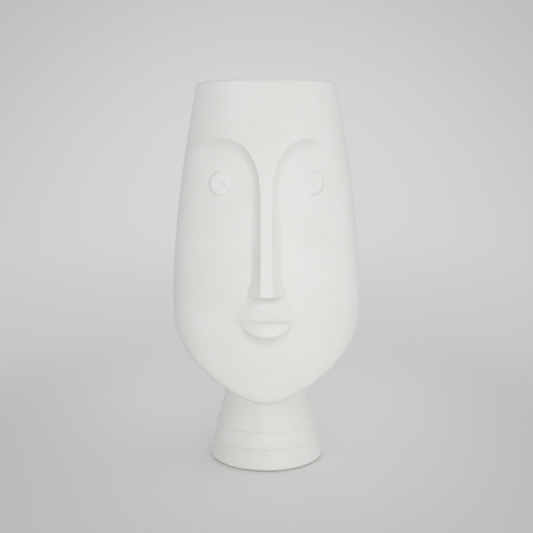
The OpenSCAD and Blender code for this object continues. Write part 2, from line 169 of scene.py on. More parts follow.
def make_piece(name: str, points: Array, faces: list[Array]) -> bpy.types.Object:
    """Makes a closed piece with smooth shading and faces that point outwards.

    Args:
        name: name of the piece.
        points: its points in millimetres, in the model's frame.
        faces: arrays of faces, each array with as many corners a face as it has columns.

    Returns:
        The piece, at the origin and unturned.
    """
    if signed_volume(points, faces) < 0:
        faces = [group[:, ::-1] for group in faces]
    mesh = bpy.data.meshes.new(name)
    corners = np.concatenate([group.ravel() for group in faces]).astype(np.int32)
    counts = np.concatenate([np.full(len(group), group.shape[1]) for group in faces])
    starts = np.concatenate([[0], np.cumsum(counts)[:-1]]).astype(np.int32)
    mesh.vertices.add(len(points))
    mesh.vertices.foreach_set("co", (points * MM).astype(np.float32).ravel())
    mesh.loops.add(len(corners))
    mesh.loops.foreach_set("vertex_index", corners)
    mesh.polygons.add(len(counts))
    mesh.polygons.foreach_set("loop_start", starts)
    mesh.polygons.foreach_set("use_smooth", np.ones(len(counts), bool))
    mesh.update(calc_edges=True)
    mesh.validate()
    mesh.set_sharp_from_angle(angle=math.radians(CREASE_DEG))
    piece = bpy.data.objects.new(name, mesh)
    bpy.context.scene.collection.objects.link(piece)
    return piece


def loft(name: str, sections: Array) -> bpy.types.Object:
    """Makes a shell from closed sections side by side, with a flat cap on the first and the last.

    Args:
        name: name of the piece.
        sections: points as sections x points round a section x 3.

    Returns:
        The piece.
    """
    count, around = sections.shape[:2]
    quads = grid_quads(count, around, wrap=True)
    ring = np.arange(around)
    caps = np.stack([ring[::-1], ring + (count - 1) * around])
    return make_piece(name, sections.reshape(-1, 3), [quads, caps])


def pad(name: str, front: Array, back: Array) -> bpy.types.Object:
    """Makes an applied piece from a front grid over a back grid, closed round their edges.

    Args:
        name: name of the piece.
        front: points of the shown side as rows x columns x 3.
        back: points behind them, on a grid of the same size.

    Returns:
        The piece.
    """
    rows, cols = front.shape[:2]
    index = np.arange(rows * cols).reshape(rows, cols)
    edge = np.concatenate([index[0, :-1], index[:-1, -1], index[-1, :0:-1], index[:0:-1, 0]])
    nxt = np.roll(edge, -1)
    shift = rows * cols
    sides = np.stack([nxt, edge, edge + shift, nxt + shift], -1)
    top = grid_quads(rows, cols)
    points = np.concatenate([front.reshape(-1, 3), back.reshape(-1, 3)])
    return make_piece(name, points, [top, top[:, ::-1] + shift, sides])


def turn(name: str, profile: Array, around: int = 256) -> bpy.types.Object:
    """Makes a turned piece: a closed profile of radius and height, carried round the Z axis.

    Args:
        name: name of the piece.
        profile: points of the profile as radius, height.
        around: number of steps round the axis.

    Returns:
        The piece.
    """
    angle = np.linspace(0, 2 * np.pi, around, endpoint=False)[:, None]
    radius, height = profile[:, 0][None], profile[:, 1][None]
    points = np.stack([radius * np.sin(angle), -radius * np.cos(angle), height + 0 * angle], -1)
    ring = np.concatenate([points, points[:1]])
    quads = grid_quads(around + 1, len(profile), wrap=True) % (around * len(profile))
    return make_piece(name, ring[:-1].reshape(-1, 3), [quads])


# The head's form


@dataclass(frozen=True)
class SideForm:
    """One half of the head, the face or the back, in millimetres.

    The plan of each level is half a superellipse. Above the widest level the depth follows a
    power curve with a lean. Below it, each column is a rational curve from the widest level to
    the neck, drawn towards a corner by a weight.
    """

    way: int
    depth: float
    rim_depth: float
    square: float
    lean: float
    taper: float
    corner_z: float
    corner_turn: float
    corner_spread: float
    turn_spread: float


@dataclass(frozen=True)
class HeadForm:
    """Sizes and formulas of the head's skin, in millimetres."""

    height: float = 280.0
    width: float = 139.6
    widest_z: float = 124.5
    rim_width: float = 101.4
    side_taper: float = 1.62
    wall: float = 5.0
    jaw_z: float = 90.0
    jaw_turn: float = 2.3
    neck_z: float = 56.0
    neck_r: float = 31.0
    throat_r: float = 27.5
    face: SideForm = SideForm(
        way=-1, depth=49.6, rim_depth=35.5, square=2.5, lean=0.045, taper=1.7,
        corner_z=44.2, corner_turn=3.4, corner_spread=1.6, turn_spread=1.6,
    )
    back: SideForm = SideForm(
        way=1, depth=59.15, rim_depth=45.0, square=2.1, lean=0.05, taper=1.8,
        corner_z=62.0, corner_turn=0.9, corner_spread=1.0, turn_spread=1.0,
    )

    @property
    def rim_r(self) -> float:
        """Radius of the rounded rim."""
        return self.wall / 2

    @property
    def rim_z(self) -> float:
        """Height where the rounding of the rim starts."""
        return self.height - self.rim_r

    def half_width(self, z: Array, inset: float = 0) -> Array:
        """Half width: the widest, less the difference to the rim times height share^side_taper."""
        rise = np.maximum(0, z - self.widest_z) / (self.height - self.widest_z)
        return self.width / 2 - (self.width - self.rim_width) / 2 * rise**self.side_taper - inset

    def depth(self, z: Array, side: SideForm, inset: float = 0) -> Array:
        """Depth from the axis: a straight lean, less a power of the height share.

        Args:
            z: heights at or above the widest level.
            side: the half of the head.
            inset: distance inwards from the skin.

        Returns:
            The depth at the middle of that half.
        """
        tall = self.height - self.widest_z
        rise = np.maximum(0, z - self.widest_z)
        fall = side.depth + side.lean * tall - side.rim_depth
        return side.depth + side.lean * rise - fall * (rise / tall) ** side.taper - inset

    def corner(self, a: Array, side: SideForm) -> ArrayPair:
        """Height of the jaw's corner on column a, and the weight that draws the curve to it."""
        corner_z = mix(side.corner_z, self.jaw_z, np.abs(a) ** side.corner_spread)
        return corner_z, mix(side.corner_turn, self.jaw_turn, np.abs(a) ** side.turn_spread)

    def jaw(
        self, a: Array, s: Array, side: SideForm, inset: float, ring_r: float, ring_z: float
    ) -> Array:
        """Point of the jaw, on a rational quadratic curve down each column.

        The three points of the curve are on the widest level, at the corner and on the ring at
        the neck. Their weights are (1 - s)^2, 2 w s (1 - s) and s^2, and their sum divides them.

        Args:
            a: share of the half width, which names the column.
            s: share of the way down, 0 at the widest level and 1 at the neck.
            side: the half of the head.
            inset: distance inwards from the skin.
            ring_r: radius of the ring that the jaw ends on.
            ring_z: its height.

        Returns:
            The points, with a last axis of 3.
        """
        a, s = np.broadcast_arrays(np.asarray(a, float), np.asarray(s, float))
        turn_to = np.arcsin(np.clip(np.abs(a) ** (side.square / 2), 0, 1)) * np.sign(a)
        out = superellipse(a, side.square)
        corner_z, weight = self.corner(a, side)
        corner_z = corner_z + inset
        top_y = self.depth(self.widest_z, side, inset) * out
        corner_y = top_y - side.lean * out * (self.widest_z - corner_z)
        side_x = self.half_width(self.widest_z, inset) * a
        w0, w1, w2 = (1 - s) ** 2, 2 * weight * s * (1 - s), s**2
        total = w0 + w1 + w2
        x = (side_x * (w0 + w1) + ring_r * np.sin(turn_to) * w2) / total
        y = (top_y * w0 + corner_y * w1 + ring_r * np.cos(turn_to) * w2) / total
        z = (self.widest_z * w0 + corner_z * w1 + ring_z * w2) / total
        return np.stack([x, side.way * y, z], -1)

    def skin(self, a: Array, z: Array, side: SideForm) -> Array:
        """Point of the plain skin at column a and height z, above the neck.

        Below the widest level it solves the jaw's curve for its height: with b = w (z - corner)
        and c = z - neck, s / (1 - s) = (sqrt(b^2 - c (z - widest)) - b) / c.

        Args:
            a: share of the half width.
            z: heights.
            side: the half of the head.

        Returns:
            The points, with a last axis of 3.
        """
        a, z = np.broadcast_arrays(np.asarray(a, float), np.asarray(z, float))
        y = self.depth(z, side) * superellipse(a, side.square)
        upper = np.stack([self.half_width(z) * a, side.way * y, z], -1)
        corner_z, weight = self.corner(a, side)
        low_z = np.minimum(z, self.widest_z)
        b = weight * (low_z - corner_z)
        c = low_z - self.neck_z
        k = (np.sqrt(np.maximum(0, b * b - c * (low_z - self.widest_z))) - b) / c
        lower = self.jaw(a, k / (1 + k), side, 0, self.neck_r, self.neck_z)
        return np.where((z >= self.widest_z)[..., None], upper, lower)

    def face_point(self, a: Array, z: Array, out: Array) -> Array:
        """Point of the face moved forward.

        Args:
            a: share of the half width.
            z: heights.
            out: how far it moves.

        Returns:
            The points, with a last axis of 3.
        """
        point = self.skin(a, z, self.face)
        point[..., 1] -= out
        return point

    def face_at(self, x: Array, z: Array, out: Array) -> Array:
        """Point of the face at a distance x from the middle, moved forward by out."""
        return self.face_point(x / self.half_width(z), z, out)


@dataclass(frozen=True)
class BrowForm:
    """The raised forehead and the two arches of its lower edge, in millimetres."""

    rise: float = 5.5
    peak_x: float = 31.0
    peak_z: float = 240.0
    foot_z: float = 198.0
    side_z: float = 223.0
    step_z: float = 10.5
    ridge_x: float = 3.7
    step_x: float = 6.6
    fade: float = 0.45
    arch_power: float = 2.3
    temple_ease: float = 0.7
    ridge_steps: int = 2
    arch_steps: int = 10
    temple_steps: int = 9

    @property
    def side_steps(self) -> int:
        """Coarse steps of the grid from the middle to one side."""
        return self.ridge_steps + self.arch_steps + self.temple_steps

    def forehead(self, a: Array) -> Array:
        """How far the forehead stands out: all of the rise, easing to none at the sides."""
        return self.rise * (1 - ease(self.fade, 1, np.abs(a)))

    def arch(
        self, head: HeadForm, foot_x: Array, peak_z: float, side_z: float, i: Array
    ) -> ArrayPair:
        """One edge of the brow, from the middle of the nose over the arch to the side.

        It is a short level line, a quarter superellipse up to the top, and a parabola down to
        the side.

        Args:
            head: the head's form.
            foot_x: distance from the middle to the foot of the arch.
            peak_z: height of its top.
            side_z: height of its end at the side.
            i: position along it in coarse steps, from 0 in the middle.

        Returns:
            The column shares and the heights.
        """
        foot_a = foot_x / head.half_width(self.foot_z)
        peak_a = self.peak_x / head.half_width(peak_z)
        ridge = i / self.ridge_steps
        arch = np.clip((i - self.ridge_steps) / self.arch_steps, 0, 1)
        temple = np.clip((i - self.ridge_steps - self.arch_steps) / self.temple_steps, 0, 1)
        along = mix(temple, np.sin(np.pi / 2 * temple), self.temple_ease)
        across = np.clip(np.cos(np.pi / 2 * arch), 0, 1) ** (2 / self.arch_power)
        up = np.sin(np.pi / 2 * arch) ** (2 / self.arch_power)
        a = np.where(arch < 1, mix(peak_a, foot_a, across), mix(peak_a, 1, along))
        z = np.where(arch < 1, mix(self.foot_z, peak_z, up), mix(peak_z, side_z, along**2))
        on_ridge = ridge < 1
        return np.where(on_ridge, foot_a * ridge, a), np.where(on_ridge, self.foot_z, z)

    def upper_edge(self, head: HeadForm, i: Array) -> ArrayPair:
        """Top edge of the brow's step."""
        return self.arch(head, np.full_like(i, self.ridge_x), self.peak_z, self.side_z, i)

    def lower_edge(self, head: HeadForm, i: Array) -> ArrayPair:
        """Foot of the brow's step."""
        foot = np.where(i < self.ridge_steps, self.ridge_x, self.ridge_x + self.step_x)
        return self.arch(head, foot, self.peak_z - self.step_z, self.side_z - self.step_z, i)


# Finishes


class Value:
    """A shader socket that takes part in expressions on plain numbers and other values."""

    def __init__(self, nodes: Nodes, socket: bpy.types.NodeSocket) -> None:
        """Keeps the socket and the node tree that new Math nodes go into."""
        self.nodes = nodes
        self.socket = socket

    def maths(self, operation: str, first: Value | float, second: Value | float) -> Value:
        """Adds one Math node of an operation on two values."""
        return self.nodes.add("ShaderNodeMath", {"operation": operation}, {0: first, 1: second})

    def __add__(self, other: Value | float) -> Value:
        """Sum."""
        return self.maths("ADD", self, other)

    def __radd__(self, other: float) -> Value:
        """Sum with a number in front."""
        return self.maths("ADD", other, self)

    def __sub__(self, other: Value | float) -> Value:
        """Difference."""
        return self.maths("SUBTRACT", self, other)

    def __mul__(self, other: Value | float) -> Value:
        """Product."""
        return self.maths("MULTIPLY", self, other)

    def __rmul__(self, other: float) -> Value:
        """Product with a number in front."""
        return self.maths("MULTIPLY", other, self)

    def smooth(self, lo: float, hi: float) -> Value:
        """Smooth step of this value from 0 at lo to 1 at hi."""
        inputs = {"Value": self, "From Min": lo, "From Max": hi}
        return self.nodes.add("ShaderNodeMapRange", {"interpolation_type": "SMOOTHSTEP"}, inputs)


class Nodes:
    """The node tree of one material or of the world."""

    def __init__(self, owner: bpy.types.Material | bpy.types.World) -> None:
        """Starts with an empty tree.

        Args:
            owner: the material or the world.
        """
        owner.use_nodes = True
        self.tree = owner.node_tree
        self.tree.nodes.clear()

    def add(
        self,
        kind: str,
        settings: dict[str, object] | None = None,
        inputs: dict[str | int, object] | None = None,
        out: str | int = 0,
    ) -> Value:
        """Adds a node.

        Args:
            kind: the node's type.
            settings: its settings, which are set first.
            inputs: numbers, colours or values for its sockets, by name or number.
            out: name or number of the output that is wanted.

        Returns:
            That output as a value.
        """
        node = self.tree.nodes.new(kind)
        for key, setting in (settings or {}).items():
            setattr(node, key, setting)
        for key, given in (inputs or {}).items():
            socket = node.inputs[key]
            if isinstance(given, Value):
                self.tree.links.new(given.socket, socket)
            else:
                socket.default_value = given
        return Value(self, node.outputs[out] if node.outputs else None)

    def place(self) -> Value:
        """Object coordinates, in metres."""
        return self.add("ShaderNodeTexCoord", out="Object")

    def noise(self, place: Value, scale: float, detail: float = 2.0, roughness: float = 0.5) -> Value:
        """Noise from 0 to 1 with so many waves a metre."""
        inputs = {"Vector": place, "Scale": scale, "Detail": detail, "Roughness": roughness}
        return self.add("ShaderNodeTexNoise", {"noise_dimensions": "3D"}, inputs, "Fac")

    def blend(self, factor: Value | float, first: object, second: object) -> Value:
        """Mixes two colours."""
        inputs = {"Factor": factor, 6: first, 7: second}
        return self.add("ShaderNodeMix", {"data_type": "RGBA"}, inputs, 2)

    def axis(self, place: Value, name: str) -> Value:
        """One coordinate of a place."""
        return self.add("ShaderNodeSeparateXYZ", None, {"Vector": place}, name)


def rgba(colour: Colour) -> tuple[float, float, float, float]:
    """A colour with full alpha."""
    return (*colour, 1.0)


@dataclass(frozen=True)
class ClayFinish:
    """A ceramic surface with faint cloudy tones, fine grain and a slightly uneven skin."""

    name: str
    light: Colour
    deep: Colour
    roughness: float
    roughness_spread: float
    grain: float
    coat: float = 0.0
    coat_roughness: float = 0.1
    cloud_scale: float = 34.0
    grain_scale: float = 900.0
    wave_scale: float = 60.0
    speck_scale: float = 420.0
    cloud_range: Pair = (0.3, 0.7)
    speck_range: Pair = (0.74, 0.82)
    cloud_tint: float = 0.75
    grain_tint: float = 0.25
    speck_tint: float = 0.25
    grain_rough: float = 0.6
    wave_height: float = 0.25
    grain_height: float = 0.35
    bump_strength: float = 0.35
    bump_m: float = 0.0004
    specular: float = 0.35

    def material(self) -> bpy.types.Material:
        """Builds the finish.

        Clouds of about 30 mm tint the colour, grain of about 1 mm roughens it, and a few tiny
        specks darken it. The bump is long soft waves from the hand with fine grain on top.

        Returns:
            The material.
        """
        made = bpy.data.materials.new(self.name)
        nodes = Nodes(made)
        place = nodes.place()
        clouds = nodes.noise(place, self.cloud_scale, 3.0, 0.55)
        grain = nodes.noise(place, self.grain_scale, 3.0, 0.6)
        waves = nodes.noise(place, self.wave_scale, 1.0)
        specks = nodes.noise(place, self.speck_scale, 1.0).smooth(*self.speck_range)
        tone = clouds.smooth(*self.cloud_range) * self.cloud_tint + grain * self.grain_tint
        colour = nodes.blend(tone, rgba(self.deep), rgba(self.light))
        colour = nodes.blend(specks * self.speck_tint, colour, rgba(self.deep))
        cloud_rough = (clouds - 0.5) * self.roughness_spread
        rough = cloud_rough + (grain - 0.5) * (self.roughness_spread * self.grain_rough) + self.roughness
        height = waves * self.wave_height + grain * (self.grain_height * self.grain)
        inputs = {"Strength": self.bump_strength, "Distance": self.bump_m, "Height": height}
        bump = nodes.add("ShaderNodeBump", None, inputs, "Normal")
        shader = nodes.add(
            "ShaderNodeBsdfPrincipled",
            None,
            {
                "Base Color": colour,
                "Roughness": rough,
                "Normal": bump,
                "Coat Weight": self.coat,
                "Coat Roughness": self.coat_roughness,
                "Specular IOR Level": self.specular,
            },
        )
        nodes.add("ShaderNodeOutputMaterial", None, {"Surface": shader})
        return made


@dataclass(frozen=True)
class Finishes:
    """The three surfaces of the vase."""

    matte: ClayFinish = ClayFinish(
        "matte_white_glaze", (0.822, 0.824, 0.805), (0.788, 0.789, 0.765),
        roughness=0.46, roughness_spread=0.08, grain=1.0,
    )
    inside: ClayFinish = ClayFinish(
        "clear_inner_glaze", (0.80, 0.792, 0.765), (0.76, 0.75, 0.72),
        roughness=0.34, roughness_spread=0.08, grain=0.4, coat=0.5, coat_roughness=0.12,
    )
    bare: ClayFinish = ClayFinish(
        "bare_foot_clay", (0.76, 0.745, 0.71), (0.69, 0.67, 0.63),
        roughness=0.85, roughness_spread=0.08, grain=2.2,
    )


class Dresser:
    """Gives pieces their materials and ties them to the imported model."""

    def __init__(self, finishes: Finishes) -> None:
        """Builds each material once.

        Args:
            finishes: the surfaces.
        """
        self.matte = finishes.matte.material()
        self.inside = finishes.inside.material()
        self.bare = finishes.bare.material()

    def dress(
        self,
        piece: bpy.types.Object,
        nodes: tuple[str, ...],
        materials: list[bpy.types.Material],
        pick: Callable[[Array, Array], Array] | None = None,
    ) -> None:
        """Dresses a piece, lets it stand for its CAD nodes and reports it.

        Args:
            piece: the finished piece.
            nodes: the CAD nodes that it replaces.
            materials: its materials.
            pick: gives the number of the material for each face, from the faces' centres and
                normals. All faces take the first one without it.
        """
        for made in materials:
            piece.data.materials.append(made)
        count = len(piece.data.polygons)
        if pick is not None:
            centres, normals = np.empty(count * 3), np.empty(count * 3)
            piece.data.polygons.foreach_get("center", centres)
            piece.data.polygons.foreach_get("normal", normals)
            chosen = pick(centres.reshape(-1, 3) / MM, normals.reshape(-1, 3))
            piece.data.polygons.foreach_set("material_index", chosen.astype(np.int32))
        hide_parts(*nodes)
        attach(piece, BODY)
        LOG.info("%s: %d faces for %s", piece.name, count, ", ".join(nodes))


# Sub-assemblies


@dataclass
class Head:
    """The hollow head in its two luted halves."""

    form: HeadForm = field(default_factory=HeadForm)
    brow: BrowForm = field(default_factory=BrowForm)
    fine: int = 6
    forehead_rows: int = 44
    brow_rows: int = 22
    cheek_rows: int = 84
    jaw_rows: int = 64
    back_columns: int = 90
    back_rows: int = 60
    inner_rows: int = 26
    inner_jaw_rows: int = 26
    rim_rows: int = 14
    step_crowd: float = 1.6
    glaze_x: float = 60.0
    glaze_y: float = 50.0
    glaze_reach: float = 1.2
    seat_clear: float = 4.0

    def face_columns(self) -> ArrayPair:
        """Outside of the face, down its columns.

        A column crosses the rim, the brow's upper and lower edges, the widest level and the
        neck. Between them its share of the half width and its height are straight blends, so
        the grid's lines follow the arches.

        Returns:
            The points as columns x rows x 3, and the columns' width shares at the rim.
        """
        head, brow = self.form, self.brow
        count = brow.side_steps * self.fine
        i = np.arange(-count, count + 1) / self.fine
        i = i[:, None]
        n, way = np.abs(i), np.where(i < 0, -1, 1)
        even = even_share(n / brow.side_steps, head.face.square)
        up_a, up_z = brow.upper_edge(head, n)
        low_a, low_z = brow.lower_edge(head, n)
        s = shares(self.forehead_rows)
        a = way * mix(even, up_a, s)
        forehead = head.face_point(a, mix(head.rim_z, up_z, s), brow.forehead(a))
        s = shares(self.brow_rows)[:, 1:] ** self.step_crowd
        a = way * mix(up_a, low_a, s)
        step = head.face_point(a, mix(up_z, low_z, s), brow.forehead(a) * step_share(s))
        s = shares(self.cheek_rows)[:, 1:]
        a = way * mix(low_a, even, s)
        cheek = head.face_point(a, mix(low_z, head.widest_z, s), 0 * a)
        jaw = head.jaw(way * even, shares(self.jaw_rows)[:, 1:], head.face, 0, head.neck_r, head.neck_z)
        return np.concatenate([forehead, step, cheek, jaw], axis=1), (way * even)[:, 0]

    def back_grid(self) -> ArrayPair:
        """Outside of the back, down its columns.

        Returns:
            The points as columns x rows x 3, and the columns' width shares.
        """
        head = self.form
        across = even_share(np.linspace(1, -1, 2 * self.back_columns + 1), head.back.square)
        a = across[:, None]
        upper = head.skin(a, np.linspace(head.rim_z, head.widest_z, self.back_rows + 1)[None], head.back)
        jaw = head.jaw(a, shares(self.jaw_rows)[:, 1:], head.back, 0, head.neck_r, head.neck_z)
        return np.concatenate([upper, jaw], axis=1), across

    def close(self, outside: Array, across: Array, side: SideForm) -> Array:
        """Adds the seat on the neck, the inside and the round rim to each column.

        The inside is the skin's formula, inset by the wall. Above the brow it follows the
        raised forehead. The rim is half a circle over the inside's and the outside's tops.

        Args:
            outside: columns of the outside, from the rim down.
            across: the columns' width shares.
            side: the half of the head.

        Returns:
            Closed sections as columns x points x 3.
        """
        head, brow = self.form, self.brow
        a = across[:, None]
        throat_z = head.neck_z + head.wall
        seat = head.jaw(a, np.ones((1, 1)), side, 0, head.throat_r, head.neck_z)
        s = np.linspace(1, 0, self.inner_jaw_rows + 1)[None, :-1]
        low = head.jaw(a, s, side, head.wall, head.throat_r, throat_z)
        z = np.linspace(head.widest_z, head.rim_z, self.inner_rows + 1)[None]
        lift = brow.forehead(a) * ease(brow.peak_z, head.rim_z, z) if side is head.face else 0 * a
        y = head.depth(z, side, head.wall) * superellipse(a, side.square) + lift
        high = np.stack([head.half_width(z, head.wall) * a, side.way * y, z + 0 * a], -1)
        angle = np.linspace(0, np.pi, self.rim_rows + 1)[None, 1:-1, None]
        rim = mix(high[:, -1:], outside[:, :1], (1 - np.cos(angle)) / 2)
        rim[..., 2] += head.rim_r * np.sin(angle)[..., 0]
        return np.concatenate([outside, seat, low, high, rim], axis=1)

    def is_inside(self, centres: Array, normals: Array) -> Array:
        """Tells the faces below the rim that look towards the axis, which carry the inner glaze.

        Args:
            centres: the faces' centres.
            normals: their normals.

        Returns:
            1 for those faces and 0 for the rest.
        """
        towards = (centres[:, 0] * normals[:, 0] + centres[:, 1] * normals[:, 1]) < 0
        radial = np.hypot(centres[:, 0] / self.glaze_x, centres[:, 1] / self.glaze_y)
        low, high = self.form.neck_z + self.seat_clear, self.form.rim_z
        return towards & (centres[:, 2] < high) & (centres[:, 2] > low) & (radial < self.glaze_reach)

    def build(self, dresser: Dresser) -> None:
        """Builds and dresses both halves.

        Args:
            dresser: gives the pieces their finishes.
        """
        for name, side, grid, node in (
            ("head_face_half", self.form.face, self.face_columns, "head_front"),
            ("head_back_half", self.form.back, self.back_grid, "head_back"),
        ):
            outside, across = grid()
            piece = loft(name, self.close(outside, across, side))
            dresser.dress(piece, (node,), [dresser.matte, dresser.inside], self.is_inside)


@dataclass
class Nose:
    """The long nose, which runs on from the ridge between the brows, in millimetres."""

    head: HeadForm
    brow: BrowForm
    side_low_w: float = 6.2
    side_widen: float = 1.4
    hollow: float = 1.4
    hollow_reach: float = 2.2
    foot_power: float = 2.0
    wing_w: float = 28.0
    wing_h: float = 20.0
    wing_power: float = 2.2
    tip_z: float = 131.2
    tip_rise: float = 9.2
    rise_power: float = 1.1
    under_h: float = 3.2
    under_rise: float = 0.38
    under_rows: int = 14
    overlap_z: float = 4.0
    top_gap: float = 0.3
    top_dip: float = 0.3
    proud: float = 0.02
    edge_dip: float = 0.04
    side_crowd: float = 1.5
    rows: int = 150
    side_cols: int = 26
    flat_cols: int = 10

    def near_tip(self, z: Array) -> Array:
        """Share of the way from the long hollow sides to the straight wings at the tip."""
        return ease(self.tip_z + self.hollow_reach * self.wing_h, self.tip_z, z)

    def side_width(self, z: Array) -> Array:
        """Width of a sloping side: it grows down the nose, and a power curve adds the wing.

        Args:
            z: heights.

        Returns:
            The widths, larger where the foot is hollow.
        """
        s = np.clip((self.brow.foot_z - z) / (self.brow.foot_z - self.tip_z), 0, None)
        wing = self.wing_w / 2 - self.brow.ridge_x - self.side_low_w
        near = np.clip((self.tip_z + self.wing_h - z) / self.wing_h, 0, 1)
        plain = mix(self.brow.step_x / self.hollow, self.side_low_w, np.minimum(1, s * self.side_widen))
        return (plain + wing * near**self.wing_power) * mix(self.hollow, 1, self.near_tip(z))

    def rise(self, z: Array) -> Array:
        """How far the flat front stands out: from the brow's rise to the tip's, nearly straight."""
        s = np.clip((self.brow.foot_z - z) / (self.brow.foot_z - self.tip_z), 0, 1)
        return mix(self.brow.rise, self.tip_rise, s**self.rise_power)

    def build(self, dresser: Dresser) -> None:
        """Builds and dresses the nose.

        Across, the flat front falls away on each side by the brow's own step, whose foot turns
        from hollow to straight at the wings. Down, the front stands out more and more, and the
        last rows fold back under the tip.

        Args:
            dresser: gives the piece its finish.
        """
        top = self.brow.foot_z + self.overlap_z
        down = np.linspace(top - self.top_gap, self.tip_z, self.rows)
        under = np.linspace(self.tip_z, self.tip_z - self.under_h, self.under_rows)[1:]
        z = np.concatenate([[top], down, under])[:, None]
        sides = np.linspace(1, 0, self.side_cols) ** self.side_crowd
        flats = np.linspace(1, -1, self.flat_cols + 1)[1:-1]
        flat = np.concatenate([np.ones(self.side_cols), flats, -np.ones(self.side_cols)])[None]
        side = np.concatenate([sides, 0 * flats, -sides[::-1]])[None]
        x = -(self.brow.ridge_x * flat + self.side_width(z) * side)
        fold = mix(1, self.under_rise, np.clip((self.tip_z - z) / self.under_h, 0, 1))
        sunk = -self.top_dip * (z >= top)
        wall = step_share(np.abs(side), mix(self.foot_power, 1.0, self.near_tip(z)))
        out = (self.rise(z) + self.proud + sunk) * wall * fold - self.edge_dip
        front = self.head.face_at(x, z, out)
        back = self.head.face_at(x, z, out * 0 - BURIED)
        dresser.dress(pad("nose_form", front, back), ("nose",), [dresser.matte])


@dataclass
class Mouth:
    """The two lips, in millimetres."""

    head: HeadForm
    line_z: float = 112.3
    top_z: float = 128.1
    low_z: float = 91.8
    top_w: float = 30.0
    corner_w: float = 54.0
    corner_drop: float = 2.4
    line_w: float = 36.0
    upper_rise: float = 5.4
    lower_rise: float = 6.2
    drop_start: float = 0.8
    corner_round: float = 0.16
    round_to: float = 0.34
    side_power: float = 1.5
    flat_low: float = 0.5
    flat_top: float = 0.12
    edge_share: float = 0.56
    edge_roll: Triple = (0.22, 0.0, 0.18)
    slope: Triple = (0.22, 0.1, 0.85)
    shelf: Triple = (0.42, 0.84, 1.0)
    end_h: float = 1.6
    hang_power: float = 2.3
    flank_power: float = 2.2
    crest: float = 0.466
    crest_bow: float = 0.13
    line_share: float = 0.36
    swell_power: float = 0.75
    fall_to: float = 0.98
    fall_power: float = 2.2
    cols: int = 96
    rows: int = 56

    def shares(self) -> ArrayPair:
        """Shares across the lip, closer together at its ends, and shares down it."""
        across = np.sin(np.linspace(-np.pi / 2, np.pi / 2, self.cols + 1))
        return across[None], np.linspace(0, 1, self.rows + 1)[:, None]

    @staticmethod
    def step(form: Triple, v: Array) -> Array:
        """Smooth step of a given height from one share to another."""
        height, start, end = form
        return height * ease(start, end, v)

    def upper(self) -> ArrayPair:
        """The upper lip widens from its top edge to the corners, which drop round the line.

        Across, its height is level in the middle and falls to the ends by a smooth step. Up it,
        smooth steps make a roll over the lower edge, a slope and a shelf at the top edge.

        Returns:
            The front and the back grid.
        """
        u, v = self.shares()
        drop = self.corner_drop * ease(self.line_w / self.corner_w * self.drop_start, 1, np.abs(u))
        z = mix(self.line_z - drop, self.top_z, v)
        rounded = 1 - self.corner_round * np.clip(1 - v / self.round_to, 0, 1) ** 2
        half = mix(self.corner_w, self.top_w, v**self.side_power) / 2 * rounded
        level = mix(self.flat_low, self.flat_top, v)
        flank = 1 - ease(0, 1, (np.abs(u) - level) / (1 - level))
        roll = self.edge_share + self.step(self.edge_roll, v) + self.step(self.slope, v)
        roll = roll - self.step(self.shelf, v)
        out = self.upper_rise * flank * roll - EDGE_DIP
        return self.head.face_at(half * u, z, out), self.head.face_at(half * u, z, 0 * out - BURIED)

    def lower(self) -> ArrayPair:
        """The lower lip hangs from the line as half a superellipse.

        Down it, a power of a sine swells to a crisp crest, and a power falls away below it.

        Returns:
            The front and the back grid.
        """
        u, v = self.shares()
        hang = self.end_h + (self.line_z - self.low_z - self.end_h) * superellipse(u, self.hang_power)
        z = self.line_z - v * hang
        flank = np.clip(1 - np.abs(u) ** self.flank_power, 0, 1)
        crest = self.crest - self.crest_bow * u * u
        swell = np.sin(np.pi / 2 * np.minimum(1, v / crest)) ** self.swell_power
        fall = np.clip((1 - v) / (self.fall_to - crest), 0, 1) ** self.fall_power
        out = self.lower_rise * flank * (mix(self.line_share, 1, swell) * fall) - EDGE_DIP
        x = self.line_w / 2 * u + 0 * v
        return self.head.face_at(x, z, out), self.head.face_at(x, z, 0 * out - BURIED)

    def build(self, dresser: Dresser) -> None:
        """Builds and dresses both lips.

        Args:
            dresser: gives the pieces their finishes.
        """
        for name, grids, node in (
            ("upper_lip_form", self.upper(), "upper_lip"),
            ("lower_lip_form", self.lower(), "lower_lip"),
        ):
            dresser.dress(pad(name, *grids), (node,), [dresser.matte])


